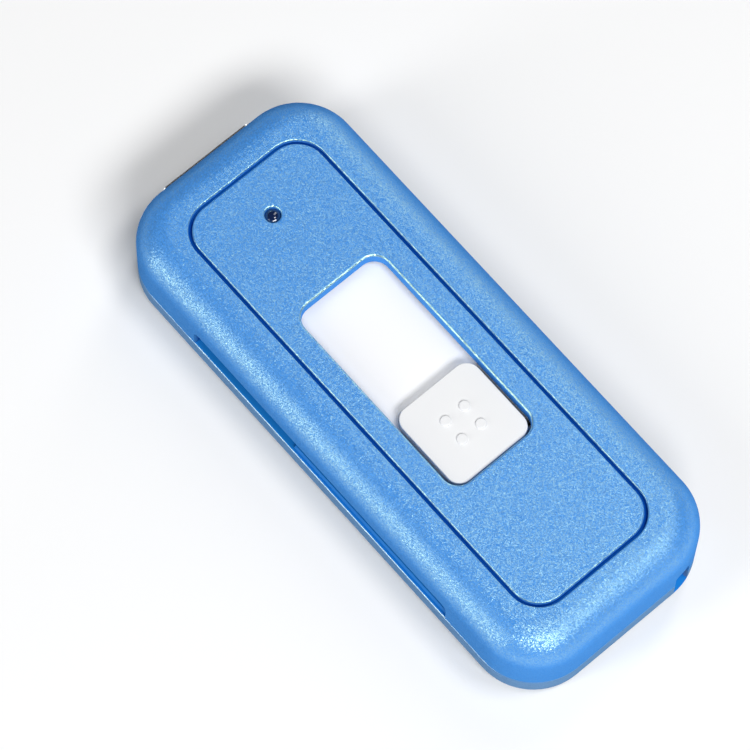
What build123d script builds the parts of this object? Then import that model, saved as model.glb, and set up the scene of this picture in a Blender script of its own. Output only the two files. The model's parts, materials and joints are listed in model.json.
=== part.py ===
from build123d import *
import os

# Memory card reader with a plug that slides out of one end.
# The thumb button runs along a window in the top cover. It carries the tray, the circuit board, the
# plug and the card socket with it. Millimetres, +Z up, origin at the middle of the underside.
# The plug comes out towards -X, the card goes in from -Y, and the cord corner is at +X +Y.
# The model stands with the plug drawn in.

# The standard pieces that the reader is made around
card_width = 24.0
card_thickness = 2.1
plug_width = 12.0
plug_height = 4.5
plug_sheet = 0.3

# Case
case_width = 27.6
corner_radius = 7.0
rim_radius = 3.7
base_radius = 1.2
wall = 1.4
panel_thickness = 1.6
floor_thickness = 1.3
seam_chamfer = 0.12
weld = 0.3

# Groove around the panel
rim_width = 5.15
groove_radius = 3.55
groove_width = 0.4
groove_depth = 0.7
groove_lip = 0.18

# Window, button and the plate under the window
window_length = 25.9
window_width = 11.5
window_radius = 1.9
window_lip = 0.3
button_length = 10.4
button_end_gap = 0.2
button_side_gap = 0.5
button_radius = 1.6
button_edge = 0.12
button_slit = 0.65
button_recess = 0.58
dot_radius = 0.62
dot_pitch = 2.62
dot_height = 0.25
dot_edge = 0.18
plate_thickness = 0.9
plate_gap = 0.5
plate_air = 0.8
plate_overlap = 1.05
plate_side = 2.45
plate_corner = 2.5
plate_end_room = 0.3

# Guides in the top cover and the catches that hold the button at both ends
slide_clearance = 0.1
guide_gap = 0.2
guide_width = 1.0
runner_width = 0.6
runner_inset = 0.6
arm_length = 7.0
arm_width = 0.7
arm_slit = 0.3
catch_radius = 0.6
catch_height = 0.4
catch_clearance = 0.1

# Light hole, its lens and the thin spot in the plate above the light
light_inset = 10.7
light_radius = 0.9
light_round = 0.2
lens_clearance = 0.05
lens_recess = 0.15
lens_dome = 1.2
lens_flange = 0.5
lens_flange_height = 0.5
light_spot_radius = 1.1
light_spot_depth = 0.5

# Carriage, from the plug's end to the tail
carriage_gap = 0.35
plug_seat = 3.85
component_bay = 7.75
socket_side = 1.5
tail_bay = 8.9
tail_gap = 1.4
rail_height = 0.3
rail_width = 0.8
rail_spacing = 14.0
tray_floor = 0.8
tray_wall = 0.8
tray_side_gap = 0.3
tongue_overhang = 0.7
board_play = 0.2
board_thickness = 0.8

# Legs that join the thumb slider to the board and the tray
leg_length = 1.8
leg_width = 1.6
leg_inset = 0.2
leg_gap = 0.6
peg_radius = 0.6
peg_clearance = 0.05

# Card slot and the tray's lip inside it
card_play = 0.4
card_head = 0.35
slot_head = 0.05
slot_tail_gap = 0.15
slot_front_gap = 0.9
slot_radius = 1.0
lip_thickness = 0.45
lip_clearance = 0.15
lip_inset = 0.3
lip_edge = 0.2
lead_in = 0.2

# Card socket
socket_floor = 0.7
socket_rear = 1.3
shield_sheet = 0.2
shield_finger_width = 3.0
shield_finger_length = 7.0
shield_finger_slit = 0.4
shield_finger_inset = 3.5
contact_count = 9
contact_pitch = 2.5
contact_width = 0.9
contact_sheet = 0.2
contact_foot = 1.2
contact_reach = 4.6
contact_rise = 0.7
contact_nose = 0.8
contact_slot_clearance = 0.15
switch_length = 6.0
switch_height = 1.5
switch_inset = 0.4
switch_room = 0.3
switch_tab = 0.8
switch_pitch = 7.0

# Plug
plug_proud = 0.4
plug_clearance = 0.25
plug_corner = 0.6
plug_window = 2.3
plug_window_inset = 5.2
plug_window_spacing = 5.6
plug_tab = 1.6
tab_clearance = 0.05
tongue_height = 1.95
tongue_play = 0.02
tongue_setback = 0.3
tongue_edge = 0.4
tongue_block = 6.5
pin_sheet = 0.2
pin_width = 1.0
pin_pitches = (-3.5, -1.0, 1.0, 3.5)
pin_proud = 0.05
pin_setbacks = (0.8, 1.8, 1.8, 0.8)
pin_foot = 1.0

# Pieces on the board
chip_length = 10.2
chip_width = 5.3
chip_height = 1.75
chip_standoff = 0.1
chip_bevel = 0.25
chip_mark_radius = 0.4
chip_mark_depth = 0.1
chip_mark_inset = 1.0
chip_inset = 0.4
lead_count = 14
lead_pitch = 0.65
lead_width = 0.3
lead_sheet = 0.15
lead_knee = 0.45
lead_foot = 0.8
regulator_length = 2.9
regulator_width = 1.3
regulator_height = 1.0
regulator_lead_width = 0.4
regulator_lead_pitch = 0.95
regulator_knee = 0.25
regulator_foot = 0.4
crystal_length = 4.2
crystal_width = 2.5
crystal_height = 1.1
crystal_base = 0.4
crystal_flange = 0.2
crystal_corner = 0.5
bay_offset = 3.6
led_length = 2.0
led_width = 1.25
led_base = 0.4
led_height = 1.0
led_dome = 1.3
led_edge = 0.3
chip_part_length = 1.6
chip_part_width = 0.8
capacitor_height = 0.8
resistor_height = 0.45
end_cap = 0.35
end_cap_skin = 0.04
capacitor_spacing = 1.5
resistor_spacing = 2.2
chip_part_margin = 0.4

# Joint between the covers
joint_lip = 0.6
joint_height = 1.0
joint_clearance = 0.1
joint_setback = 1.5
snap_length = 4.0
snap_depth = 0.25
snap_height = 0.4
snap_spacing = 28.0

# Cord corner
cord_width = 2.2
cord_angle = 9.2
cord_top_room = 5.6
cord_round = 0.6
cord_wall = 0.8
pocket_depth = 1.6

# Heights, from the floor up
tray_bottom = floor_thickness + rail_height + slide_clearance
board_bottom = tray_bottom + tray_floor
board_top = board_bottom + board_thickness
card_floor = board_top + socket_floor
shield_bottom = card_floor + card_thickness + card_head
shield_top = shield_bottom + shield_sheet
slot_top = shield_top + slot_head
parting = card_floor - lip_thickness - lip_clearance
plug_top = board_top + plug_height
tongue_top = board_top + plug_sheet + tongue_height
pin_level = tongue_top + pin_proud - pin_sheet / 2
plate_bottom = plug_top + plate_air
plate_top = plate_bottom + plate_thickness
panel_underside = plate_top + plate_gap
case_height = panel_underside + panel_thickness
button_top = case_height - button_recess
cord_top = case_height - cord_top_room

# Lengths, from the plug's end to the tail
mouth_width = card_width + card_play
travel = window_length - button_length - 2 * button_end_gap
plate_reach = window_length / 2 + travel + plate_overlap
inner_rim = rim_radius - wall
carriage_length = plug_seat + component_bay + 2 * socket_side + mouth_width + tail_bay
carriage_room = travel + carriage_gap + carriage_length + tail_gap
plate_room = 2 * (plate_reach + inner_rim + plate_end_room)
inner_length = max(carriage_room, plate_room)
case_length = inner_length + 2 * wall
end_x = case_length / 2
inner_x = inner_length / 2
board_front = -inner_x + travel + carriage_gap
plug_rear = board_front + plug_seat
plug_tip = -end_x - plug_proud
socket_front = plug_rear + component_bay
mouth_front = socket_front + socket_side
mouth_tail = mouth_front + mouth_width
socket_tail = mouth_tail + socket_side
board_tail = socket_tail + tail_bay
tray_tail = board_tail + board_play + tray_wall
slot_front = mouth_front - travel - slot_front_gap
slot_tail = mouth_tail + slot_tail_gap
light_x = -end_x + light_inset
led_x = light_x + travel
button_x = window_length / 2 - button_end_gap - button_length / 2
arm_start = window_length / 2 + plate_overlap
catch_x = arm_start + arm_length - catch_radius
corner_x = end_x - corner_radius

# Widths, from the middle out
side_y = case_width / 2
inner_y = side_y - wall
inner_width = 2 * inner_y
corner_y = side_y - corner_radius
button_width = window_width - 2 * button_side_gap
plate_y = window_width / 2 + plate_side
guide_y = plate_y + guide_gap
tray_y = inner_y - tray_side_gap
board_y = tray_y - tray_wall - board_play
socket_back = board_y - contact_foot
card_stop = socket_back - socket_rear
leg_y = plate_y - leg_inset - leg_width / 2

# The carriage's tail is narrower, to clear the cord corner
pocket_radius = corner_radius - wall - pocket_depth
step_x = corner_x - cord_wall - tray_side_gap
tongue_left = corner_y - cord_wall - tray_side_gap
tongue_right = -corner_y - tongue_overhang
chip_x = board_tail - chip_inset - lead_knee - lead_foot - chip_width / 2
chip_y = (tongue_left + tongue_right) / 2
bay_x = (plug_rear + pin_foot + socket_front) / 2
front_leg_x = socket_front - leg_gap - leg_length / 2
tail_leg_x = socket_tail + leg_gap + leg_length / 2
leg_places = [(x, side * leg_y) for x in (front_leg_x, tail_leg_x) for side in (-1, 1)]


def block(x0, x1, y0, y1, z0, z1):
    """Box between two corners."""
    middle = Pos((x0 + x1) / 2, (y0 + y1) / 2, (z0 + z1) / 2)
    return middle * Box(x1 - x0, y1 - y0, z1 - z0)


def pad(x, y, length, width, z0, z1):
    """Box on a given spot, with its length along X."""
    return block(x - length / 2, x + length / 2, y - width / 2, y + width / 2, z0, z1)


def round_pad(x, y, length, width, radius, z0, z1):
    """Pad whose upright corners are rounded."""
    return Pos(x, y, z0) * extrude(RectangleRounded(length, width, radius), z1 - z0)


def post(x, y, radius, z0, z1):
    """Upright cylinder."""
    return Pos(x, y, (z0 + z1) / 2) * Cylinder(radius, z1 - z0)


def rectangle(x0, x1, y0, y1):
    """Flat rectangle between two corners."""
    return Pos((x0 + x1) / 2, (y0 + y1) / 2) * Rectangle(x1 - x0, y1 - y0)


def bent_strip(plane, points, sheet, width):
    """Sheet metal strip bent along the points, as wide to both sides of the plane."""
    outline = trace(Polyline(*points), line_width=sheet)
    return extrude(plane * outline, width / 2, both=True)


def edges_at(shape, height, reach_x, reach_y):
    """Edges at one height whose middles lie within a distance of the case's centre."""
    level = shape.edges().filter_by_position(Axis.Z, height, height)
    return [edge for edge in level if abs(edge.center().X) < reach_x and abs(edge.center().Y) < reach_y]


def panel_groove():
    """Fine groove between the panel and the rim."""
    length = case_length - 2 * rim_width
    width = case_width - 2 * rim_width
    outer = RectangleRounded(length + groove_width, width + groove_width, groove_radius + groove_width / 2)
    inner = RectangleRounded(length - groove_width, width - groove_width, groove_radius - groove_width / 2)
    return Pos(0, 0, case_height - groove_depth) * extrude(outer - inner, groove_depth)


def plug_opening():
    """Opening in the end wall that the plug passes through, half in each cover."""
    half = plug_width / 2 + plug_clearance
    low = board_top - plug_clearance
    cut = block(-case_length, inner_rim - inner_x, -half, half, low, plug_top + plug_clearance)
    return fillet(cut.edges().filter_by(Axis.X), plug_corner)


def card_slot():
    """Long opening in the side wall: the card's width and the carriage's travel."""
    cut = block(slot_front, slot_tail, -case_width, inner_rim - inner_y, 0, slot_top)
    return fillet(cut.edges().filter_by(Axis.Y).group_by(Axis.Z)[-1], slot_radius)


def cord_openings():
    """Two openings at the cord corner, one on each side of the bar between them."""
    cut = block(pocket_radius, 2 * corner_radius, -cord_width / 2, cord_width / 2, floor_thickness, cord_top)
    cut = fillet(cut.edges().filter_by(Axis.X).group_by(Axis.Z)[-1], cord_round)
    corner = Pos(corner_x, corner_y, 0)
    return [corner * Rot(0, 0, angle) * cut for angle in (cord_angle, 90 - cord_angle)]


def cord_pocket(z0, z1):
    """Wall behind the cord corner that closes it off from the inside of the case."""
    inside = pocket_radius - cord_wall
    reach = corner_radius - wall + weld
    quarter = block(0, pocket_radius, 0, pocket_radius, z0, z1)
    arc = (post(0, 0, pocket_radius, z0, z1) - post(0, 0, inside, z0, z1)) & quarter
    end = block(inside, reach, -cord_wall, 0, z0, z1)
    side = block(-cord_wall, 0, inside, reach, z0, z1)
    return Pos(corner_x, corner_y, 0) * (arc + end + side)


def joint_spans():
    """Where the bottom cover's joint lip runs: side of the case, start, end and snap places."""
    end = corner_x - joint_setback
    front_end = slot_front - joint_setback
    tail_start = slot_tail + joint_setback
    return [
        (1, -end, end, (-snap_spacing / 2, snap_spacing / 2)),
        (-1, -end, front_end, ((front_end - end) / 2,)),
        (-1, tail_start, end, ((tail_start + end) / 2,)),
    ]


def joint_lips(clearance):
    """Lip and snap bumps of the bottom cover, or with a clearance the room for them."""
    pieces = []
    for side, start, end, snaps in joint_spans():
        face = inner_y + joint_lip + clearance
        top = parting + joint_height + clearance
        y0, y1 = sorted((side * inner_y, side * face))
        pieces.append(block(start - clearance, end + clearance, y0, y1, parting - weld, top))
        for x in snaps:
            length = min(snap_length, (end - start) / 2) + 2 * clearance
            y = side * (face + snap_depth / 2)
            middle = parting + joint_height - snap_height
            half = snap_height / 2 + clearance
            pieces.append(pad(x, y, length, snap_depth, middle - half, middle + half))
    return pieces


def slide_guides():
    """Ribs beside the slider's plate, and the runners that keep it down."""
    low = plate_bottom - slide_clearance
    reach = plate_reach + guide_gap
    pieces = []
    for side in (-1, 1):
        middle = side * (guide_y + guide_width / 2)
        pieces.append(pad(0, middle, 2 * reach, guide_width, low, panel_underside + weld))
        middle = side * (plate_y - runner_inset - runner_width / 2)
        low_runner = plate_top + slide_clearance
        pieces.append(pad(0, middle, 2 * reach, runner_width, low_runner, panel_underside + weld))
    return pieces


def catch_notches():
    """Notches in the guide ribs that take the slider's catches at both ends of the travel."""
    low = plate_bottom - slide_clearance
    radius = catch_radius + catch_clearance
    places = [(x, side) for x in (catch_x, catch_x - travel) for side in (-1, 1)]
    return [post(x, side * guide_y, radius, low, plate_top + slide_clearance) for x, side in places]


def make_top_cover():
    """Upper shell with the panel, the window, the light hole and the card slot."""
    body = round_pad(0, 0, case_length, case_width, corner_radius, parting, case_height)
    body = fillet(body.faces().sort_by(Axis.Z)[-1].edges(), rim_radius)
    body = chamfer(body.faces().sort_by(Axis.Z)[0].edges(), seam_chamfer)
    body -= panel_groove()
    reach = groove_width / 2 + groove_lip - rim_width
    body = fillet(edges_at(body, case_height, end_x + reach, side_y + reach), groove_lip)
    body -= round_pad(0, 0, window_length, window_width, window_radius, 0, case_height)
    window_edges = edges_at(body, case_height, window_length / 2 + window_lip, window_width / 2 + window_lip)
    body = fillet(window_edges, window_lip)
    hollow = round_pad(0, 0, inner_length, inner_width, corner_radius - wall, 0, panel_underside)
    body -= fillet(hollow.faces().sort_by(Axis.Z)[-1].edges(), inner_rim)
    body -= light_hole()
    near_light = edges_at(body, case_height, end_x, light_radius)
    hole_edge = [edge for edge in near_light if abs(edge.center().X - light_x) < 2 * light_radius]
    body = fillet(hole_edge, light_round)
    body += slide_guides()
    body -= catch_notches()
    body += cord_pocket(parting, panel_underside + weld)
    body -= joint_lips(joint_clearance)
    body -= [card_slot(), plug_opening()]
    body -= cord_openings()
    return body


def light_hole():
    """Stepped hole for the lens."""
    hole = post(light_x, 0, light_radius, panel_underside, case_height)
    seat_radius = light_radius + lens_flange + lens_clearance
    return hole + post(light_x, 0, seat_radius, 0, panel_underside + lens_flange_height)


def make_light_lens():
    """Clear lens with a domed top and a flange that seats under the panel."""
    radius = light_radius - lens_clearance
    top = case_height - lens_recess
    stem = post(light_x, 0, radius, panel_underside, top)
    stem &= Pos(light_x, 0, top - lens_dome) * Sphere(lens_dome)
    seat = panel_underside + lens_flange_height
    return stem + post(light_x, 0, light_radius + lens_flange, panel_underside, seat)


def make_bottom_cover():
    """Lower shell with the slide rails, the joint lip and the lead-in under the card slot."""
    body = round_pad(0, 0, case_length, case_width, corner_radius, 0, parting)
    body = fillet(body.faces().sort_by(Axis.Z)[0].edges(), base_radius)
    body = chamfer(body.faces().sort_by(Axis.Z)[-1].edges(), seam_chamfer)
    body -= round_pad(0, 0, inner_length, inner_width, corner_radius - wall, floor_thickness, case_height)
    for side in (-1, 1):
        top = floor_thickness + rail_height
        body += pad(0, side * rail_spacing / 2, 2 * corner_x, rail_width, floor_thickness - weld, top)
    body += joint_lips(0)
    body += cord_pocket(floor_thickness - weld, parting)
    body -= cord_openings()
    body -= plug_opening()
    return body - slot_lead_in()


def slot_lead_in():
    """What is taken off the bottom cover's edge under the card slot to round it."""
    middle = (slot_front + slot_tail) / 2
    length = slot_tail - slot_front
    bar = block(slot_front, slot_tail, -side_y, lead_in - side_y, parting - lead_in, parting)
    return bar - Pos(middle, lead_in - side_y, parting - lead_in) * Rot(0, 90, 0) * Cylinder(lead_in, length)


def make_thumb_slider():
    """Button, plate, catch arms and legs in one white moulding."""
    plate = round_pad(0, 0, window_length + travel + 2 * plate_overlap, 2 * plate_y, plate_corner,
                      plate_bottom, plate_top)
    plate = Pos(travel / 2, 0, 0) * plate
    button = round_pad(button_x, 0, button_length, button_width, button_radius, plate_bottom, button_top)
    body = plate + fillet(button.faces().sort_by(Axis.Z)[-1].edges(), button_edge)
    for x in (-dot_pitch / 2, dot_pitch / 2):
        for y in (-dot_pitch / 2, dot_pitch / 2):
            dot = post(button_x + x, y, dot_radius, plate_bottom, button_top + dot_height)
            body += fillet(dot.edges().group_by(Axis.Z)[-1], dot_edge)
    body -= button_slits()
    body -= catch_arm_slits()
    for side in (-1, 1):
        body += post(catch_x, side * (guide_y - catch_clearance - catch_radius), catch_radius,
                     plate_bottom, plate_top)
    for x, y in leg_places:
        body += pad(x, y, leg_length, leg_width, board_top, plate_top)
        body += post(x, y, peg_radius, tray_bottom, plate_bottom)
    return body - post(led_x, 0, light_spot_radius, plate_bottom, plate_bottom + light_spot_depth)


def button_slits():
    """Slits through the plate along both sides of the button."""
    middle = (button_width + button_slit) / 2
    length = button_length - button_radius
    return [pad(button_x, side * middle, length, button_slit, 0, case_height) for side in (-1, 1)]


def catch_arm_slits():
    """Slits that free a spring arm along each edge of the plate."""
    end = arm_start + arm_length
    inner = plate_y - catch_height - arm_width
    cuts = []
    for side in (-1, 1):
        y0, y1 = sorted((side * (inner - arm_slit), side * inner))
        cuts.append(block(arm_start, end + arm_slit, y0, y1, 0, case_height))
        y0, y1 = sorted((side * inner, side * guide_y))
        cuts.append(block(end, end + arm_slit, y0, y1, 0, case_height))
        y0, y1 = sorted((side * (plate_y - catch_height), side * guide_y))
        cuts.append(block(arm_start, end, y0, y1, 0, case_height))
    return cuts


def carriage_plan(inset):
    """Plan of the carriage, drawn in evenly on every side but the plug's.

    Its two corners beside the plug follow the case's corners, which they reach when the plug is out.
    """
    main = rectangle(board_front, step_x - inset, inset - tray_y, tray_y - inset)
    front_radius = corner_radius - wall - tray_side_gap - inset
    main = fillet(main.vertices().group_by(Axis.X)[0], front_radius)
    return main + rectangle(bay_x, tray_tail - inset, tongue_right + inset, tongue_left - inset)


def peg_holes():
    """Holes for the slider's pegs in the board and the tray."""
    return [post(x, y, peg_radius + peg_clearance, 0, board_top) for x, y in leg_places]


def make_carriage_tray():
    """Tray under the board, with the lip that leads the card in."""
    body = Pos(0, 0, tray_bottom) * extrude(carriage_plan(0), board_top - tray_bottom)
    body -= Pos(0, 0, board_bottom) * extrude(carriage_plan(tray_wall), board_thickness)
    inside = tray_wall - tray_y
    lip = block(mouth_front, mouth_tail, lip_inset - side_y, inside, card_floor - lip_thickness, card_floor)
    lip = chamfer(lip.edges().filter_by(Axis.X).group_by(Axis.Y)[0], lip_edge)
    body += [lip, block(mouth_front, mouth_tail, -tray_y, inside, board_bottom, card_floor)]
    return body - peg_holes()


def shell_tabs(clearance):
    """Tabs that hold the plug's shell in the board, or with a clearance the slots for them."""
    x0 = plug_rear - 2 * plug_tab
    outside = plug_width / 2
    top = board_top + 2 * plug_corner
    tabs = []
    for side in (-1, 1):
        y = side * (outside - plug_sheet / 2)
        x = x0 + plug_tab / 2
        tabs.append(pad(x, y, plug_tab + 2 * clearance, plug_sheet + 2 * clearance, board_bottom, top))
    return tabs


def make_main_board():
    """Circuit board, seated in the tray."""
    plan = carriage_plan(tray_wall + board_play)
    body = Pos(0, 0, board_bottom) * extrude(plan, board_thickness)
    return body - peg_holes() - shell_tabs(tab_clearance)


def make_usb_shell():
    """Folded steel shell of the plug, with its four square windows and two board tabs."""
    half = plug_width / 2
    body = block(plug_tip, plug_rear, -half, half, board_top, plug_top)
    body = fillet(body.edges().filter_by(Axis.X), plug_corner)
    inner = half - plug_sheet
    space = block(plug_tip, plug_rear, -inner, inner, board_top + plug_sheet, plug_top - plug_sheet)
    body -= fillet(space.edges().filter_by(Axis.X), plug_corner - plug_sheet)
    for side in (-1, 1):
        x = plug_tip + plug_window_inset
        y = side * plug_window_spacing / 2
        body -= pad(x, y, plug_window, plug_window, 0, case_height)
    return body + shell_tabs(0)


def make_usb_tongue():
    """Plastic insert of the plug: a low tongue in front and a full block behind."""
    low = board_top + plug_sheet + tongue_play
    half = plug_width / 2 - plug_sheet - tongue_play
    front = plug_tip + tongue_setback
    body = block(front, plug_rear, -half, half, low, tongue_top)
    high = plug_top - plug_sheet - tongue_play
    body += block(plug_rear - tongue_block, plug_rear, -half, half, low, high)
    body = fillet(body.edges().filter_by(Axis.X).group_by(Axis.Z)[0], tongue_edge)
    body = fillet(body.edges().filter_by(Axis.X).group_by(Axis.Z)[-1], tongue_edge)
    for y, setback in zip(pin_pitches, pin_setbacks):
        body -= block(front + setback, plug_rear, y - pin_width / 2, y + pin_width / 2,
                      pin_level - pin_sheet / 2, pin_level + pin_sheet / 2)
    return body


def make_usb_contacts():
    """Four contacts that lie in the tongue and turn down to the board behind it."""
    pins = []
    drop = plug_rear + pin_sheet / 2
    foot = board_top + pin_sheet / 2
    for y, setback in zip(pin_pitches, pin_setbacks):
        start = plug_tip + tongue_setback + setback
        line = [(start, pin_level), (drop, pin_level), (drop, foot), (plug_rear + pin_foot, foot)]
        pins.append(Pos(0, y, 0) * bent_strip(Plane.XZ, line, pin_sheet, pin_width))
    return Compound(children=pins)


def contact_places():
    """Middles of the card socket's contacts along X."""
    middle = (mouth_front + mouth_tail) / 2
    return [middle + (i - (contact_count - 1) / 2) * contact_pitch for i in range(contact_count)]


def switch_places():
    """Middles of the two switch springs along Y."""
    middle = (card_stop - board_y) / 2 - switch_length / 2
    return [middle - switch_pitch / 2, middle + switch_pitch / 2]


def make_socket_base():
    """Moulded base of the card socket, open at the front and the top."""
    body = block(socket_front, socket_tail, -board_y, socket_back, board_top, shield_bottom)
    body -= block(mouth_front, mouth_tail, -board_y, card_stop, card_floor, shield_bottom)
    for x in contact_places():
        width = contact_width + 2 * contact_slot_clearance
        start = card_stop - contact_reach - contact_nose - contact_slot_clearance
        body -= pad(x, (start + card_stop) / 2, width, card_stop - start, board_top, card_floor)
        body -= pad(x, (card_stop + socket_back) / 2, contact_width, socket_rear, board_top,
                    board_top + contact_sheet)
    depth = switch_inset + shield_sheet + switch_room
    for y in switch_places():
        room = switch_length + 2 * switch_room
        body -= block(mouth_tail, mouth_tail + depth, y - room / 2, y + room / 2, card_floor, shield_bottom)
        x = mouth_tail + switch_inset
        y1 = y + switch_length / 2
        body -= block(x, x + shield_sheet, y1 - switch_tab, y1, board_top, card_floor)
    return body


def make_socket_contacts():
    """Contact springs that rise through the base's floor to meet the card."""
    foot = board_top + contact_sheet / 2
    peak = card_floor + contact_rise
    springs = []
    for x in contact_places():
        line = [
            (socket_back + contact_foot, foot),
            (card_stop - contact_slot_clearance, foot),
            (card_stop - contact_reach, peak),
            (card_stop - contact_reach - contact_nose, peak - contact_rise / 2),
        ]
        springs.append(Pos(x, 0, 0) * bent_strip(Plane.YZ, line, contact_sheet, contact_width))
    return Compound(children=springs)


def make_card_switch_springs():
    """Upright springs beside the card, one for the card and one for its lock tab."""
    springs = []
    x = mouth_tail + switch_inset
    low = card_floor + switch_room
    for y in switch_places():
        y1 = y + switch_length / 2
        blade = block(x, x + shield_sheet, y - switch_length / 2, y1, low, low + switch_height)
        springs.append(blade + block(x, x + shield_sheet, y1 - switch_tab, y1, board_top, low))
    return Compound(children=springs)


def make_socket_shield():
    """Folded steel cover of the card socket, with two stamped spring fingers."""
    sheet = shield_sheet
    body = block(socket_front - sheet, socket_tail + sheet, -board_y, card_stop, board_top, shield_top)
    body -= block(socket_front, socket_tail, -board_y, card_stop, board_top, shield_bottom)
    width = shield_finger_width + 2 * shield_finger_slit
    for x in (mouth_front + shield_finger_inset, mouth_tail - shield_finger_inset):
        y = (card_stop - board_y) / 2
        length = shield_finger_length
        slit = pad(x, y, width, length, shield_bottom, shield_top)
        tongue = pad(x, y - shield_finger_slit, shield_finger_width, length, shield_bottom, shield_top)
        body -= slit - tongue
    return body


def make_controller_chip():
    """Moulded body of the controller, with its corner mark."""
    low = board_top + chip_standoff
    body = pad(chip_x, chip_y, chip_width, chip_length, low, low + chip_height)
    body = chamfer(body.faces().sort_by(Axis.Z)[-1].edges(), chip_bevel)
    x = chip_x - chip_width / 2 + chip_mark_inset
    y = chip_y - chip_length / 2 + chip_mark_inset
    top = low + chip_height
    return body - post(x, y, chip_mark_radius, top - chip_mark_depth, top)


def gull_wing(side, x, y, half, mid, width, knee, foot):
    """Lead that leaves a chip's side, turns down and ends in a foot on the board."""
    low = board_top + lead_sheet / 2
    line = [(side * half, mid), (side * (half + knee), mid), (side * (half + knee), low),
            (side * (half + knee + foot), low)]
    return Pos(x, y, 0) * bent_strip(Plane.XZ, line, lead_sheet, width)


def make_controller_leads():
    """Two rows of gull-wing leads."""
    mid = board_top + chip_standoff + chip_height / 2
    leads = []
    for i in range(lead_count):
        y = chip_y + (i - (lead_count - 1) / 2) * lead_pitch
        for side in (-1, 1):
            leads.append(gull_wing(side, chip_x, y, chip_width / 2, mid, lead_width, lead_knee, lead_foot))
    return Compound(children=leads)


def make_regulator():
    """Body of the small three-legged voltage regulator."""
    low = board_top + chip_standoff
    body = pad(bay_x, bay_offset, regulator_width, regulator_length, low, low + regulator_height)
    return chamfer(body.faces().sort_by(Axis.Z)[-1].edges(), chip_standoff)


def make_regulator_leads():
    """Two leads on one side of the regulator and one on the other."""
    mid = board_top + chip_standoff + regulator_height / 2
    places = [(-1, -regulator_lead_pitch), (-1, regulator_lead_pitch), (1, 0)]
    leads = []
    for side, y in places:
        leads.append(gull_wing(side, bay_x, bay_offset + y, regulator_width / 2, mid, regulator_lead_width,
                               regulator_knee, regulator_foot))
    return Compound(children=leads)


def make_crystal_can():
    """Clock crystal: a low can on a slightly wider base."""
    y = -bay_offset
    base_top = board_top + crystal_base
    body = round_pad(bay_x, y, crystal_width, crystal_length, crystal_corner, board_top, base_top)
    width = crystal_width - 2 * crystal_flange
    length = crystal_length - 2 * crystal_flange
    can = round_pad(bay_x, y, width, length, crystal_corner, board_top, board_top + crystal_height)
    return body + fillet(can.faces().sort_by(Axis.Z)[-1].edges(), crystal_flange)


def make_status_led():
    """Light on the board, under the lens when the plug is out."""
    body = pad(led_x, 0, led_width, led_length, board_top, board_top + led_base)
    dome = pad(led_x, 0, led_width, led_dome, board_top, board_top + led_height)
    return body + fillet(dome.faces().sort_by(Axis.Z)[-1].edges(), led_edge)


def chip_part(x, y, turn, height):
    """Small two-ended part with plated ends."""
    body = pad(0, 0, chip_part_length - end_cap, chip_part_width, 0, height)
    for side in (-1, 1):
        end = side * (chip_part_length - end_cap) / 2
        width = chip_part_width + 2 * end_cap_skin
        body += pad(end, 0, end_cap, width, 0, height + end_cap_skin)
    return Pos(x, y, board_top) * Rot(0, 0, turn) * body


def make_chip_capacitors():
    """Two pairs of capacitors between the plug and the front legs, at the board's edges."""
    first = front_leg_x - leg_length / 2 - chip_part_margin - chip_part_width / 2
    edge = board_y - chip_part_margin - chip_part_length / 2
    places = [(first - i * capacitor_spacing, side * edge) for i in (0, 1) for side in (-1, 1)]
    return Compound(children=[chip_part(x, y, 90, capacitor_height) for x, y in places])


def make_chip_resistors():
    """Row of resistors beside the card socket, between the front legs."""
    x = socket_front - leg_gap - chip_part_width / 2
    places = [i * resistor_spacing for i in (-2, -1, 1, 2)]
    return Compound(children=[chip_part(x, y, 90, resistor_height) for y in places])


makers = {
    "top_cover": make_top_cover,
    "bottom_cover": make_bottom_cover,
    "light_lens": make_light_lens,
    "thumb_slider": make_thumb_slider,
    "carriage_tray": make_carriage_tray,
    "main_board": make_main_board,
    "usb_shell": make_usb_shell,
    "usb_tongue": make_usb_tongue,
    "usb_contacts": make_usb_contacts,
    "socket_base": make_socket_base,
    "socket_shield": make_socket_shield,
    "socket_contacts": make_socket_contacts,
    "card_switch_springs": make_card_switch_springs,
    "controller_chip": make_controller_chip,
    "controller_leads": make_controller_leads,
    "regulator": make_regulator,
    "regulator_leads": make_regulator_leads,
    "crystal_can": make_crystal_can,
    "status_led": make_status_led,
    "chip_capacitors": make_chip_capacitors,
    "chip_resistors": make_chip_resistors,
}

os.makedirs("parts", exist_ok=True)
for name, make in makers.items():
    export_step(make(), f"parts/{name}.step")
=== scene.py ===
# %% [markdown]
# # A pocket card reader in pearl blue
# The real object is a small reader for memory cards. Two moulded shells are sprayed with pearl paint, a white
# slider in the top pushes the plug out of one end, and a card goes into the long slot in one side.
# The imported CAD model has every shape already, to a hundredth of a millimetre. So this lesson is mostly about
# finishes: paint that sparkles, plastic that was never painted, metal, lacquered board, and the light on them.

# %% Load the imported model
import json
import math

import bpy
from mathutils import Matrix, Vector


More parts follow.
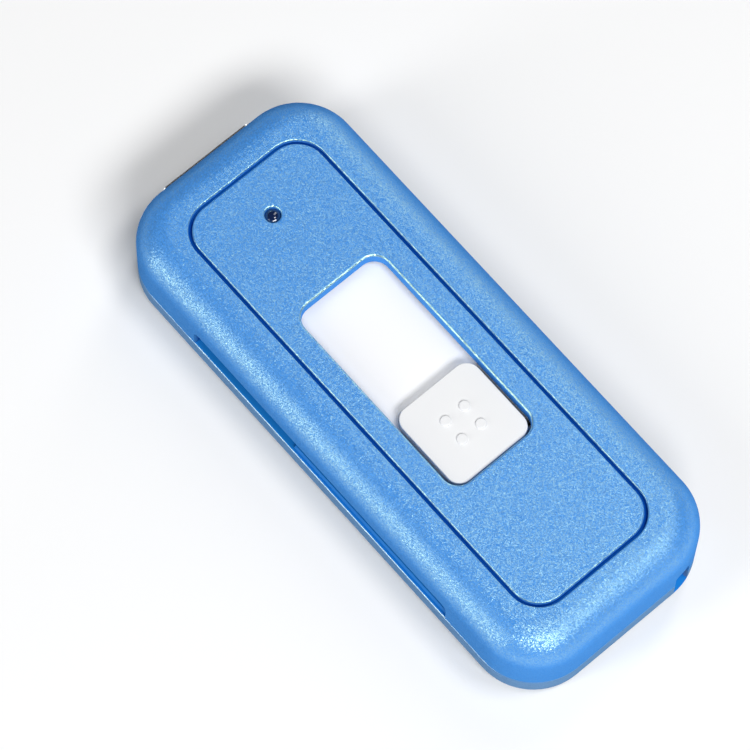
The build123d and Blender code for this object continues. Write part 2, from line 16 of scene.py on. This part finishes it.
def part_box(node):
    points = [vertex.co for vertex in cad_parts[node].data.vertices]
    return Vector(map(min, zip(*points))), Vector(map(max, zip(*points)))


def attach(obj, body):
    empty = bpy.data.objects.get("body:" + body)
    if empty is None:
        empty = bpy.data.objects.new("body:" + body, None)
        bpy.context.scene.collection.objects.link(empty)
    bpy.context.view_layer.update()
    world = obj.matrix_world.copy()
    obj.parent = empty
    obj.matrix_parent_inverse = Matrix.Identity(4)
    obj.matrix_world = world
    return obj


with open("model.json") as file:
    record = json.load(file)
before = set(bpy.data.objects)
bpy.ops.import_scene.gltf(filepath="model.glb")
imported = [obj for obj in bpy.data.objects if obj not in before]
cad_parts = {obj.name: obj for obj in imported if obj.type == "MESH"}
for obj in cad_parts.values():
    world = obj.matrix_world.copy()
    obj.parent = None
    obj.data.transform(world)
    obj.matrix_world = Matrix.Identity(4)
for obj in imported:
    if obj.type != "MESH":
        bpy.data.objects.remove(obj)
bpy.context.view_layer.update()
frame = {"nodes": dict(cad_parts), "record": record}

nodes = frame["nodes"]
record = frame["record"]

# %% [markdown]
# ## The camera
# The photograph looks steeply down on the panel from beside the card slot, through a long lens, with the picture
# turned by a little over two degrees. A camera could be placed by eye, but the case's outline, window and slot
# are all known in the CAD model, so the angles and the distance were fitted to them once and are written here.
# The camera's own axes are built from two angles and then rolled, which is easier to read than three rotations.

# %% Place the camera
view_turn = math.radians(46.95)
view_rise = math.radians(69.26)
view_roll = math.radians(2.32)
focal_pixels = 4840
picture_pixels = 750
film_width = 36
panel_height, eye_left, eye_down, eye_distance = 11.6, 4.28, 0.605, 506.3

right = Vector((math.cos(view_turn), math.sin(view_turn), 0))
back = Vector((math.sin(view_turn) * math.cos(view_rise), -math.cos(view_turn) * math.cos(view_rise),
               math.sin(view_rise)))
up = back.cross(right)
across = math.cos(view_roll) * right + math.sin(view_roll) * up
upward = math.cos(view_roll) * up - math.sin(view_roll) * right
eye = (Vector((0, 0, panel_height)) - eye_left * across - eye_down * upward + eye_distance * back) / 1000

camera = bpy.data.objects.new("camera", bpy.data.cameras.new("camera"))
camera.data.sensor_width = film_width
camera.data.lens = film_width * focal_pixels / picture_pixels
camera.matrix_world = Matrix((
    (across.x, upward.x, back.x, eye.x),
    (across.y, upward.y, back.y, eye.y),
    (across.z, upward.z, back.z, eye.z),
    (0, 0, 0, 1),
))
bpy.context.scene.collection.objects.link(camera)
bpy.context.scene.camera = camera
bpy.context.scene.view_settings.view_transform = "Standard"
print("camera at", [round(value, 4) for value in eye], "lens", round(camera.data.lens, 1), "mm")

# %% [markdown]
# ## Writing shaders as sums
# Every finish below is a node tree. Placing nodes one by one hides the idea, so one small class stands for a
# socket: adding or multiplying two of them adds the Math node that does it. All other nodes come from its
# `node` method, which settles a node's settings first and then fills or joins its inputs.

# %% A socket that can be added and multiplied
class Wire:
    """A socket of one node tree."""

    def __init__(self, tree, socket=None):
        self.tree = tree
        self.socket = socket

    def node(self, kind, settings=None, inputs=None, output=0):
        """Add a node, set it up, fill or join its inputs, and return one of its outputs."""
        made = self.tree.nodes.new(kind)
        for name, value in (settings or {}).items():
            setattr(made, name, value)
        for name, value in (inputs or {}).items():
            if isinstance(value, Wire):
                self.tree.links.new(value.socket, made.inputs[name])
            else:
                made.inputs[name].default_value = value
        return Wire(self.tree, made.outputs[output])

    def maths(self, operation, *values):
        return self.node("ShaderNodeMath", {"operation": operation}, dict(enumerate(values)))

    def __add__(self, other):
        return self.maths("ADD", self, other)

    def __radd__(self, other):
        return self.maths("ADD", other, self)

    def __sub__(self, other):
        return self.maths("SUBTRACT", self, other)

    def __rsub__(self, other):
        return self.maths("SUBTRACT", other, self)

    def __mul__(self, other):
        return self.maths("MULTIPLY", self, other)

    def __rmul__(self, other):
        return self.maths("MULTIPLY", other, self)

    def __pow__(self, other):
        return self.maths("POWER", self, other)

    def __abs__(self):
        return self.maths("ABSOLUTE", self)


print("a Wire understands + - * ** and abs()")

# %% Small helpers for finishes
def colour(red, green, blue):
    """A colour as a screen shows it, 0 to 255, made linear for a shader."""
    parts = [value / 255 for value in (red, green, blue)]
    return tuple(v / 12.92 if v <= 0.04045 else ((v + 0.055) / 1.055) ** 2.4 for v in parts) + (1,)


def start_finish(name, sockets):
    """A new material with one Principled shader, whose plain values are set on its own sockets."""
    material = bpy.data.materials.new(name)
    material.use_nodes = True
    shader = material.node_tree.nodes["Principled BSDF"]
    for socket, value in sockets.items():
        shader.inputs[socket].default_value = value
    return material, Wire(material.node_tree), shader


def feed(shader, socket, wire):
    """Join a wire to one of the shader's sockets."""
    wire.tree.links.new(wire.socket, shader.inputs[socket])


def millimetres(tree):
    """Where a point lies on the object, in millimetres, and its three parts."""
    spot = tree.node("ShaderNodeTexCoord", output="Object")
    spot = tree.node("ShaderNodeVectorMath", {"operation": "SCALE"}, {0: spot, "Scale": 1000})
    return spot, [tree.node("ShaderNodeSeparateXYZ", None, {0: spot}, part) for part in "XYZ"]


def blend(tree, share, first, second):
    """Mix of two colours."""
    return tree.node("ShaderNodeMix", {"data_type": "RGBA"}, {0: share, 6: first, 7: second}, 2)


def rise(tree, value, start, end):
    """0 up to the start, 1 from the end on, and a soft step between them."""
    return tree.node("ShaderNodeMapRange", {"interpolation_type": "SMOOTHSTEP"}, {0: value, 1: start, 2: end})


def grain(tree, spot, per_mm, detail=2.0):
    """Soft noise around 0.5, with a given number of lumps in a millimetre."""
    return tree.node("ShaderNodeTexNoise", None, {"Vector": spot, "Scale": per_mm, "Detail": detail})


def part_of(tree, kind, part):
    """One part of a direction that the surface knows, such as how far its normal points up."""
    direction = tree.node("ShaderNodeNewGeometry", output=kind)
    return tree.node("ShaderNodeSeparateXYZ", None, {0: direction}, part)


def bump(tree, shader, height, distance_mm, strength=1.0):
    """Let a height pattern, 0 to 1, push the surface in and out by a given distance."""
    inputs = {"Height": height, "Distance": distance_mm / 1000, "Strength": strength}
    feed(shader, "Normal", tree.node("ShaderNodeBump", None, inputs))


print("panel blue, linear:", [round(value, 3) for value in colour(71, 134, 213)[:3]])

# %% [markdown]
# ## Pearl paint
# The shells are moulded in strong blue plastic and sprayed on the outside. The spray reaches a little way into the
# groove and the slot and then stops, so the bare blue shows there. A painted mask image could say where the paint
# ends, but the case is a rounded box, and how deep a point lies under that box is a short sum: 0 on the outside,
# and about the wall's thickness on the inside. The paint fades with that depth. The window is wide enough for the
# spray to reach a millimetre further down its walls.
# The faces inside the slot that look up are hidden from the spray gun and stay bare too. The bare plastic has three
# shades: its own blue, which looks dark in the sides' narrow gaps, a lighter blue at the groove's two ends that is
# painted light, and a painted shade that grows darker with depth inside. That darkest shade also draws the
# hairline of the seam where the two shells meet.
# The pearl itself is mica: small flakes that all lie almost flat, each leaning its own way. A clear coat would give
# white glare at a flat angle, which this paint doesn't have. So a matt blue shader is mixed with a small share of a
# pale metal one, the flakes. Voronoi cells make them: each leans the normal by its own amount and has its own share,
# so they flash in a highlight and stay quiet outside it. Layer Weight takes the share down at flat angles, as real
# flakes hide behind each other there. Along the softened edges of the groove, the window and the light hole the paint
# draws back and leaves more flakes at the surface, so the share goes up in a narrow band of depth.

# %% How deep a point lies under the case's outside
_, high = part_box("top_cover")
half_length = high.x * 1000
half_width = high.y * 1000
case_height = high.z * 1000
corner_radius = 7.0
rim_radius = 3.7
base_radius = 1.2


def larger(first, second):
    return first.maths("MAXIMUM", first, second)


def case_depth(x, y, z):
    """Depth under the case's rounded outside, in mm: 0 on it and more inside."""
    side_x = abs(x) - (half_length - corner_radius)
    side_y = abs(y) - (half_width - corner_radius)
    round_part = (larger(side_x, 0) ** 2 + larger(side_y, 0) ** 2) ** 0.5
    flat_part = x.maths("MINIMUM", larger(side_x, side_y), 0)
    outline = round_part + flat_part - corner_radius
    over = larger(z - (case_height - rim_radius), 0)
    under = larger(base_radius - z, 0)
    top = rim_radius - (larger(outline + rim_radius, 0) ** 2 + over ** 2) ** 0.5
    foot = base_radius - (larger(outline + base_radius, 0) ** 2 + under ** 2) ** 0.5
    return x.maths("MINIMUM", top, foot)


print("case:", round(2 * half_length, 2), "x", round(2 * half_width, 2), "x", round(case_height, 2), "mm")

# %% The pearl paint and the plastic under it
# Lengths are in mm. A pair is the start and the end of a soft step.
flake_size = 0.075
flake_roughness = 0.32
parting_height = 3.4
unsprayed_below = 4
unsprayed_fade = (0.0, 0.3)
looks_up = (0.5, 0.9)
upright_wall = (0.3, 0.6)
paint_reach = (0.25, 0.7)
window_side_x = (13.3, 13.6)
window_side_y = (6.1, 6.4)
window_extra_reach = 1.1
# Painted light: over this range of |x| the bare plastic turns to the lighter blue of the groove's ends.
lit_groove_ends = (half_length - 5.6, half_length - 4.6)
# Painted shade: over this range of depth the bare plastic darkens to its deepest shade.
painted_shade_depth = (0.4, 1.4)
seam_line = (0.03, 0.09)
seam_strength = 0.7
thin_edge = (0.012, 0.035)
thick_again = (0.12, 0.24)
edge_share = 0.5
least_share, flash_share = 0.2, 1.6
flat_view = (0.2, 0.65)
flat_loss = 0.85


def pearl_paint(name, pigments, bare, mica, mica_share, flake_lean):
    """Pigment and mica flakes with their own shade, share and lean, over bare plastic with painted light and shade.
    """
    material, tree, shader = start_finish(name, {"Specular IOR Level": 0.0, "Roughness": 0.6})
    spot, (x, y, z) = millimetres(tree)
    depth = case_depth(x, y, z)
    upright = part_of(tree, "True Normal", "Z")
    outward = 1 - rise(tree, upright, *looks_up) * rise(tree, unsprayed_below - z, *unsprayed_fade)
    in_window = (1 - rise(tree, abs(x), *window_side_x)) * (1 - rise(tree, abs(y), *window_side_y))
    painted = (1 - rise(tree, depth - window_extra_reach * in_window, *paint_reach)) * outward
    flake = tree.node("ShaderNodeTexVoronoi", None, {"Vector": spot, "Scale": 1 / flake_size}, "Color")
    shade, flash = [tree.node("ShaderNodeSeparateColor", None, {0: flake}, part) for part in ("Red", "Green")]
    # Bare plastic: own blue, lighter at the groove's ends as painted light, and a painted shade with depth.
    side, end, deep = bare
    painted_light_at_end = rise(tree, abs(x), *lit_groove_ends)
    under = blend(tree, rise(tree, depth, *painted_shade_depth), blend(tree, painted_light_at_end, side, end), deep)
    skin = blend(tree, painted, under, blend(tree, shade, *pigments))
    on_wall = 1 - rise(tree, abs(upright), *upright_wall)
    seam = (1 - rise(tree, abs(z - parting_height), *seam_line)) * on_wall
    feed(shader, "Base Color", blend(tree, seam_strength * seam, skin, deep))

    lean = tree.node("ShaderNodeVectorMath", {"operation": "SUBTRACT"}, {0: flake, 1: (0.5, 0.5, 0.5)})
    lean = tree.node("ShaderNodeVectorMath", {"operation": "SCALE"}, {0: lean, "Scale": painted * flake_lean})
    normal = tree.node("ShaderNodeNewGeometry", output="Normal")
    normal = tree.node("ShaderNodeVectorMath", {"operation": "ADD"}, {0: normal, 1: lean})
    normal = tree.node("ShaderNodeVectorMath", {"operation": "NORMALIZE"}, {0: normal})
    feed(shader, "Normal", normal)

    flakes = {"Base Color": mica, "Metallic": 1.0, "Roughness": flake_roughness, "Normal": normal}
    mirror = tree.node("ShaderNodeBsdfPrincipled", None, flakes)
    facing = tree.node("ShaderNodeLayerWeight", None, {"Blend": 0.5}, "Facing")
    flat_angle = rise(tree, facing, *flat_view)
    edge = rise(tree, depth, *thin_edge) * (1 - rise(tree, depth, *thick_again))
    own_share = mica_share * (least_share + flash_share * flash)
    share = (own_share + edge_share * edge) * (1 - flat_loss * flat_angle) * painted
    matt = Wire(tree.tree, shader.outputs["BSDF"])
    both = tree.node("ShaderNodeMixShader", None, {0: share, 1: matt, 2: mirror})
    tree.tree.links.new(both.socket, tree.tree.nodes["Material Output"].inputs["Surface"])
    return material


finishes = {}
finishes["pearl_blue"] = pearl_paint(
    "pearl_blue_paint",
    pigments=(colour(68, 145, 229), colour(80, 157, 239)),
    # bare: own blue, a lighter blue at the groove's ends as painted light, and a painted shade for depth.
    bare=(colour(12, 92, 192), colour(40, 150, 240), colour(6, 40, 100)),
    mica=(0.68, 0.96, 0.66, 1), mica_share=0.185, flake_lean=0.42,
)
finishes["grey_blue"] = pearl_paint(
    "grey_blue_paint",
    pigments=(colour(104, 149, 198), colour(116, 161, 210)),
    # bare: own blue twice, and a slightly darker painted shade for depth.
    bare=(colour(34, 138, 230), colour(34, 138, 230), colour(28, 126, 218)),
    mica=(0.74, 0.92, 0.86, 1), mica_share=0.22, flake_lean=0.42,
)
print("painted finishes:", sorted(finishes))

# %% [markdown]
# ## Plastics that are not painted
# The tray inside is moulded in the shells' strong blue and left bare. The slider is white with a fine satin skin,
# and the plug's insert and the card socket are black. A mould is etched or polished, so the surface copies a fine
# even grain. A noise that is finer than a tenth of a millimetre gives it, as bump and as a small change in gloss.
# The slider's plate lies down in the window, in the shade of its walls, so below a given height the white is
# painted a shade paler than the button's: painted light that lifts the plate out of that shade.

# %% Bare plastics
def moulded_plastic(name, deep, light, roughness, grain_per_mm, grain_depth_mm, gleam=0.5, below=None):
    """Plastic with its mould's fine skin, and where one is given, a paler shade below a height as painted light."""
    material, tree, shader = start_finish(name, {"IOR": 1.5, "Specular IOR Level": gleam})
    spot, (_, _, z) = millimetres(tree)
    fine = grain(tree, spot, grain_per_mm)
    skin = blend(tree, grain(tree, spot, 0.25), deep, light)
    # Painted light: below the given height the colour turns paler, against the shade down in the window.
    if below:
        height, shade = below
        skin = blend(tree, rise(tree, z, height, height + 0.5), shade, skin)
    feed(shader, "Base Color", skin)
    feed(shader, "Roughness", roughness - 0.06 + 0.12 * fine)
    bump(tree, shader, fine, grain_depth_mm)
    return material


finishes["bare_blue"] = moulded_plastic("bare_blue_plastic", colour(28, 126, 220), colour(36, 138, 230),
                                        0.5, 9, 0.004, 0.15)
# The slider's plate lies below 9.6 mm and is painted paler there, as painted light against the window's shade.
finishes["white_plastic"] = moulded_plastic("white_satin_plastic", colour(237, 238, 240), colour(241, 242, 243),
                                            0.5, 12, 0.002, 0.4, (9.6, colour(254, 254, 255)))
finishes["black_plastic"] = moulded_plastic("black_insert_plastic", colour(20, 20, 21), colour(30, 30, 31),
                                            0.48, 8, 0.005)
finishes["chip_black"] = moulded_plastic("chip_resin", colour(32, 32, 34), colour(44, 44, 46), 0.55, 14, 0.006)
print("plastics:", [name for name in finishes if name.endswith(("plastic", "bare_blue", "black"))])

# %% [markdown]
# ## Metals
# The plug's shell, the socket's cover and the crystal's can are nickel on sheet steel. Rolling leaves faint lines
# along the sheet, so the noise is stretched along the case. The contacts are gold over the same kind of sheet, and
# the chips' legs are tinned, which is duller and cloudy. One recipe with its own numbers makes all three.

# %% Sheet metals
def sheet_metal(name, deep, light, roughness, streak):
    """Metal with faint lines along X that change its gloss."""
    material, tree, shader = start_finish(name, {"Metallic": 1.0})
    spot, _ = millimetres(tree)
    drawn = tree.node("ShaderNodeVectorMath", {"operation": "MULTIPLY"}, {0: spot, 1: (streak, 1, 1)})
    lines = grain(tree, drawn, 6, 4)
    cloud = grain(tree, spot, 0.9)
    feed(shader, "Base Color", blend(tree, cloud, deep, light))
    feed(shader, "Roughness", roughness - 0.08 + 0.16 * lines)
    bump(tree, shader, lines, 0.002)
    return material


finishes["plated_steel"] = sheet_metal("nickel_plate", colour(196, 196, 192), colour(216, 215, 210), 0.24, 0.05)
finishes["gold_contact"] = sheet_metal("gold_flash", colour(214, 168, 82), colour(234, 190, 104), 0.22, 0.08)
finishes["tinned_lead"] = sheet_metal("tin_coat", colour(190, 193, 196), colour(214, 216, 218), 0.34, 1.0)
print("metals: nickel_plate, gold_flash, tin_coat")

# %% [markdown]
# ## The lens and the light under it
# A clear dark plug of resin fills the light hole. It looks almost black with a blue depth, a paler ring at its rim
# and a sharp glint. Its domed end is a real shape in the model. Real glass shading would need many bounces for a
# piece under two millimetres wide, so the blue depth and the paler ring are painted light, drawn by the distance
# from its middle, and a clear coat gives the glint. The light on the board is a white base with a clear dome, which
# its height tells apart.

# %% Lens and light
lens_low, lens_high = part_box("light_lens")
lens_x = 500 * (lens_low.x + lens_high.x)
lens_radius = 0.85

material, tree, shader = start_finish("smoked_resin", {"Roughness": 0.12, "Coat Weight": 1.0, "Coat Roughness": 0.03})
spot, (x, y, _) = millimetres(tree)
from_middle = ((x - lens_x) ** 2 + y ** 2) ** 0.5
# Painted light: the lens turns to a paler blue ring towards its rim and stays dark in the middle.
rim = rise(tree, from_middle, 0.55 * lens_radius, lens_radius)
cloudy = blend(tree, grain(tree, spot, 3), colour(10, 26, 62), colour(16, 38, 82))
feed(shader, "Base Color", blend(tree, rim, cloudy, colour(44, 84, 138)))
finishes["smoked_lens"] = material

led_low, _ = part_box("status_led")
dome_foot = (1000 * led_low.z + 0.38, 1000 * led_low.z + 0.46)
material, tree, shader = start_finish("light_resin", {"Coat Weight": 0.6, "Coat Roughness": 0.05})
spot, (_, _, z) = millimetres(tree)
dome = rise(tree, z, *dome_foot)
feed(shader, "Base Color", blend(tree, dome, colour(236, 234, 226), colour(214, 222, 206)))
feed(shader, "Roughness", 0.5 - 0.38 * dome + 0.06 * grain(tree, spot, 10))
finishes["led_resin"] = material
print("lens at x =", round(lens_x, 3), "mm")

# %% [markdown]
# ## The board and its small parts
# The board is woven glass under green lacquer. Where copper runs below the lacquer the green is lighter, and the
# board's cut edge shows the bare glass, pale yellow. The copper could be drawn run by run, but almost all of it lies
# under the socket, so straight-edged Voronoi cells stand for the runs.
# The small capacitors and resistors are brown and black bodies with tinned ends, told apart by the place along Y.

# %% Board lacquer
board_low, board_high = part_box("main_board")
material, tree, shader = start_finish("green_lacquer", {"IOR": 1.5})
spot, (x, y, _) = millimetres(tree)
runs_per_mm = 0.42
run_edge = (0.05, 0.08)
runs = tree.node("ShaderNodeTexVoronoi", {"feature": "DISTANCE_TO_EDGE", "voronoi_dimensions": "2D"},
                 {"Vector": spot, "Scale": runs_per_mm, "Randomness": 0.7})
copper = 1 - rise(tree, runs, *run_edge)
threads_per_mm = 9.0
weave_x, weave_y = [x.maths("SINE", along * threads_per_mm) for along in (x, y)]
weave = 0.5 + 0.25 * weave_x + 0.25 * weave_y
lacquer = blend(tree, weave, colour(16, 88, 50), colour(20, 98, 56))
lacquer = blend(tree, copper, lacquer, colour(44, 138, 78))
cut_edge = 1 - rise(tree, abs(part_of(tree, "True Normal", "Z")), 0.3, 0.7)
feed(shader, "Base Color", blend(tree, cut_edge, lacquer, colour(176, 170, 116)))
feed(shader, "Roughness", 0.28 + 0.3 * cut_edge + 0.06 * weave)
bump(tree, shader, copper + 0.1 * weave, 0.02)
finishes["circuit_board"] = material
print("board:", [round(1000 * (b - a), 2) for a, b in zip(board_low, board_high)], "mm")

# %% Capacitors and resistors
chip_half_length = 0.8
tinned_end = (0.44, 0.47)
_, part_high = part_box("chip_capacitors")
capacitor_y = 1000 * part_high.y - chip_half_length
_, part_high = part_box("chip_resistors")
resistor_y = (1000 * part_high.y - chip_half_length) / 2

for slot, body_deep, body_light, gloss in (
    ("capacitor_tan", colour(150, 112, 78), colour(172, 132, 94), 0.5),
    ("resistor_black", colour(22, 22, 24), colour(34, 34, 38), 0.3),
):
    material, tree, shader = start_finish(slot + "_body", {"IOR": 1.5})
    spot, (_, y, _) = millimetres(tree)
    if slot == "capacitor_tan":
        along = abs(abs(y) - capacitor_y)
    else:
        along = abs(y.maths("WRAP", y, resistor_y / 2, -resistor_y / 2))
    end = rise(tree, along, *tinned_end)
    body = blend(tree, grain(tree, spot, 5), body_deep, body_light)
    feed(shader, "Base Color", blend(tree, end, body, colour(204, 206, 208)))
    feed(shader, "Metallic", end)
    feed(shader, "Roughness", gloss + (0.34 - gloss) * end)
    finishes[slot] = material
print("capacitors at y = +-", round(capacitor_y, 2), "resistors every", round(resistor_y, 2), "mm")

# %% [markdown]
# ## Dress the CAD nodes
# Each node has one material slot, named after the record's. Giving that slot the finish is all that is needed,
# and the record stays the one place that says which piece is made of what.

# %% Give every node its finish
for piece in record["subparts"]:
    nodes[piece["node"]].material_slots[0].material = finishes[piece["material_slot"]]
print("dressed:", len(record["subparts"]), "nodes in", len(finishes), "finishes")

# %% [markdown]
# ## Solder
# Every foot of the chip, the plug and the card socket sits in a low bead of solder. The beads come in straight
# rows, so one Geometry Nodes tree makes a row: a line of points with a flattened ball on each. The tree has inputs
# for the count, the first place, the step and the bead's size, and each row becomes a plain mesh.

# %% A tree that makes a row of solder beads
row_tree = bpy.data.node_groups.new("solder_row", "GeometryNodeTree")
row_inputs = {}
for name, kind in (("Count", "NodeSocketInt"), ("First", "NodeSocketVector"), ("Step", "NodeSocketVector"),
                   ("Bead", "NodeSocketVector"), ("Finish", "NodeSocketMaterial")):
    row_inputs[name] = row_tree.interface.new_socket(name, in_out="INPUT", socket_type=kind).identifier
row_tree.interface.new_socket("Geometry", in_out="OUTPUT", socket_type="NodeSocketGeometry")

row = Wire(row_tree)
given = row_tree.nodes.new("NodeGroupInput")
ask = {name: Wire(row_tree, given.outputs[name]) for name in row_inputs}
line = row.node("GeometryNodeMeshLine", {"mode": "OFFSET"},
                {"Count": ask["Count"], "Start Location": ask["First"], "Offset": ask["Step"]})
ball = row.node("GeometryNodeMeshUVSphere", None, {"Segments": 16, "Rings": 8, "Radius": 0.5})
beads = row.node("GeometryNodeInstanceOnPoints", None, {"Points": line, "Instance": ball, "Scale": ask["Bead"]})
beads = row.node("GeometryNodeRealizeInstances", None, {"Geometry": beads})
beads = row.node("GeometryNodeSetShadeSmooth", None, {"Geometry": beads})
beads = row.node("GeometryNodeSetMaterial", None, {"Geometry": beads, "Material": ask["Finish"]})
result = row_tree.nodes.new("NodeGroupOutput")
row_tree.links.new(beads.socket, result.inputs["Geometry"])
print("row inputs:", list(row_inputs))


# %% Solder the rows of feet
def solder_row(name, count, first, step, bead):
    """A row of beads on the board, made a plain mesh that rides with the carriage. Sizes in mm."""
    maker = bpy.data.objects.new(name + "_maker", bpy.data.meshes.new(name + "_maker"))
    bpy.context.scene.collection.objects.link(maker)
    modifier = maker.modifiers.new("row", "NODES")
    modifier.node_group = row_tree
    modifier[row_inputs["Count"]] = count
    for key, value in (("First", first), ("Step", step), ("Bead", bead)):
        modifier[row_inputs[key]] = [part / 1000 for part in value]
    modifier[row_inputs["Finish"]] = finishes["tinned_lead"]
    settled = maker.evaluated_get(bpy.context.evaluated_depsgraph_get())
    piece = bpy.data.objects.new(name, bpy.data.meshes.new_from_object(settled))
    bpy.context.scene.collection.objects.link(piece)
    bpy.data.objects.remove(maker)
    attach(piece, "carriage")
    print(name, len(piece.data.polygons), "faces")


board_top = 1000 * board_high.z
leads_low, leads_high = (1000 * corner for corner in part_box("controller_leads"))
lead_count = 14
lead_width = 0.3
lead_step = (leads_high.y - leads_low.y - lead_width) / (lead_count - 1)
for side, foot_x in (("front", leads_low.x + 0.4), ("tail", leads_high.x - 0.4)):
    solder_row("controller_solder_" + side, lead_count, (foot_x, leads_low.y + lead_width / 2, board_top),
               (0, lead_step, 0), (1.3, 0.5, 0.22))

springs_low, springs_high = (1000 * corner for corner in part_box("socket_contacts"))
solder_row("socket_solder", 9, (springs_low.x + 0.45, springs_high.y - 0.55, board_top), (2.5, 0, 0),
           (1.2, 1.0, 0.3))
_, pins_high = (1000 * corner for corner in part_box("usb_contacts"))
for side, first_y in (("left", -3.5), ("right", 1.0)):
    solder_row("plug_solder_" + side, 2, (pins_high.x - 0.5, first_y, board_top), (0, 2.5, 0), (0.95, 1.3, 0.3))

# %% [markdown]
# ## Floor and light
# The rounded rim tells where the photograph's lamps stood: each soft bright line on it is the mirror image of one, so
# its place on the curve gives a direction. That makes four area lights: a small one above, a wide one at the tail and
# a tall one on each long side, with the plug's end left dark. They are kept at a level where a colour
# renders about as it is written. The white ground is the floor's own colour, so the object still casts a soft shadow.
# To the camera and in reflections it is white, but the light that it throws back comes from a greyer floor, because
# the case's lower walls stay deep blue in the photograph, and a paler one at the tail, where they don't.

# %% Floor
floor_mesh = bpy.data.meshes.new("floor")
floor_mesh.from_pydata([(-3, -3, -0.0001), (3, -3, -0.0001), (3, 3, -0.0001), (-3, 3, -0.0001)], [], [(0, 1, 2, 3)])
floor = bpy.data.objects.new("floor", floor_mesh)
bpy.context.scene.collection.objects.link(floor)

material, tree, shader = start_finish("white_floor", {"Roughness": 0.9, "Specular IOR Level": 0.0})
spot, (x, _, _) = millimetres(tree)
paper = blend(tree, grain(tree, spot, 0.02), (0.96, 0.96, 0.96, 1), (0.98, 0.98, 0.98, 1))
camera_ray, glossy_ray, clear_ray = [tree.node("ShaderNodeLightPath", output="Is " + kind + " Ray")
                                     for kind in ("Camera", "Glossy", "Transmission")]
seen = larger(larger(camera_ray, glossy_ray), clear_ray)
tail_floor = (25, 55)
thrown_back = blend(tree, rise(tree, x, *tail_floor), (0.35, 0.35, 0.35, 1), (0.95, 0.95, 0.95, 1))
feed(shader, "Base Color", blend(tree, seen, thrown_back, paper))
floor.data.materials.append(material)
print("floor laid")

# %% Lights
lamp_distance = 0.8


def softbox(name, towards, length, width, watts):
    """An area light that faces the case from a given direction, its length level. Sizes in metres."""
    lamp = bpy.data.lights.new(name, "AREA")
    lamp.shape = "RECTANGLE"
    lamp.size = length
    lamp.size_y = width
    lamp.energy = watts
    light = bpy.data.objects.new(name, lamp)
    direction = Vector(towards).normalized()
    light.location = direction * lamp_distance
    light.rotation_euler = direction.to_track_quat("Z", "Y").to_euler()
    bpy.context.scene.collection.objects.link(light)
    print(name, "at", [round(part, 2) for part in light.location], watts, "W")


softbox("top_light", (0.25, 0.23, 0.94), 0.2, 0.2, 1.6)
softbox("tail_light", (0.64, -0.17, 0.75), 0.49, 0.2, 4.45)
softbox("slot_side_light", (-0.21, -0.90, 0.38), 0.2, 0.67, 2.71)
softbox("far_side_light", (-0.33, 0.76, 0.56), 0.2, 0.8, 1.48)

world = bpy.data.worlds.new("studio")
world.use_nodes = True
world.node_tree.nodes["Background"].inputs["Color"].default_value = (0.92, 0.95, 1.0, 1)
world.node_tree.nodes["Background"].inputs["Strength"].default_value = 0.05
bpy.context.scene.world = world
print("world set")

# %% [markdown]
# ## Measure and finish
# The finished pieces must stay inside the CAD model's box.

# %% End of the scene
print("scene built")
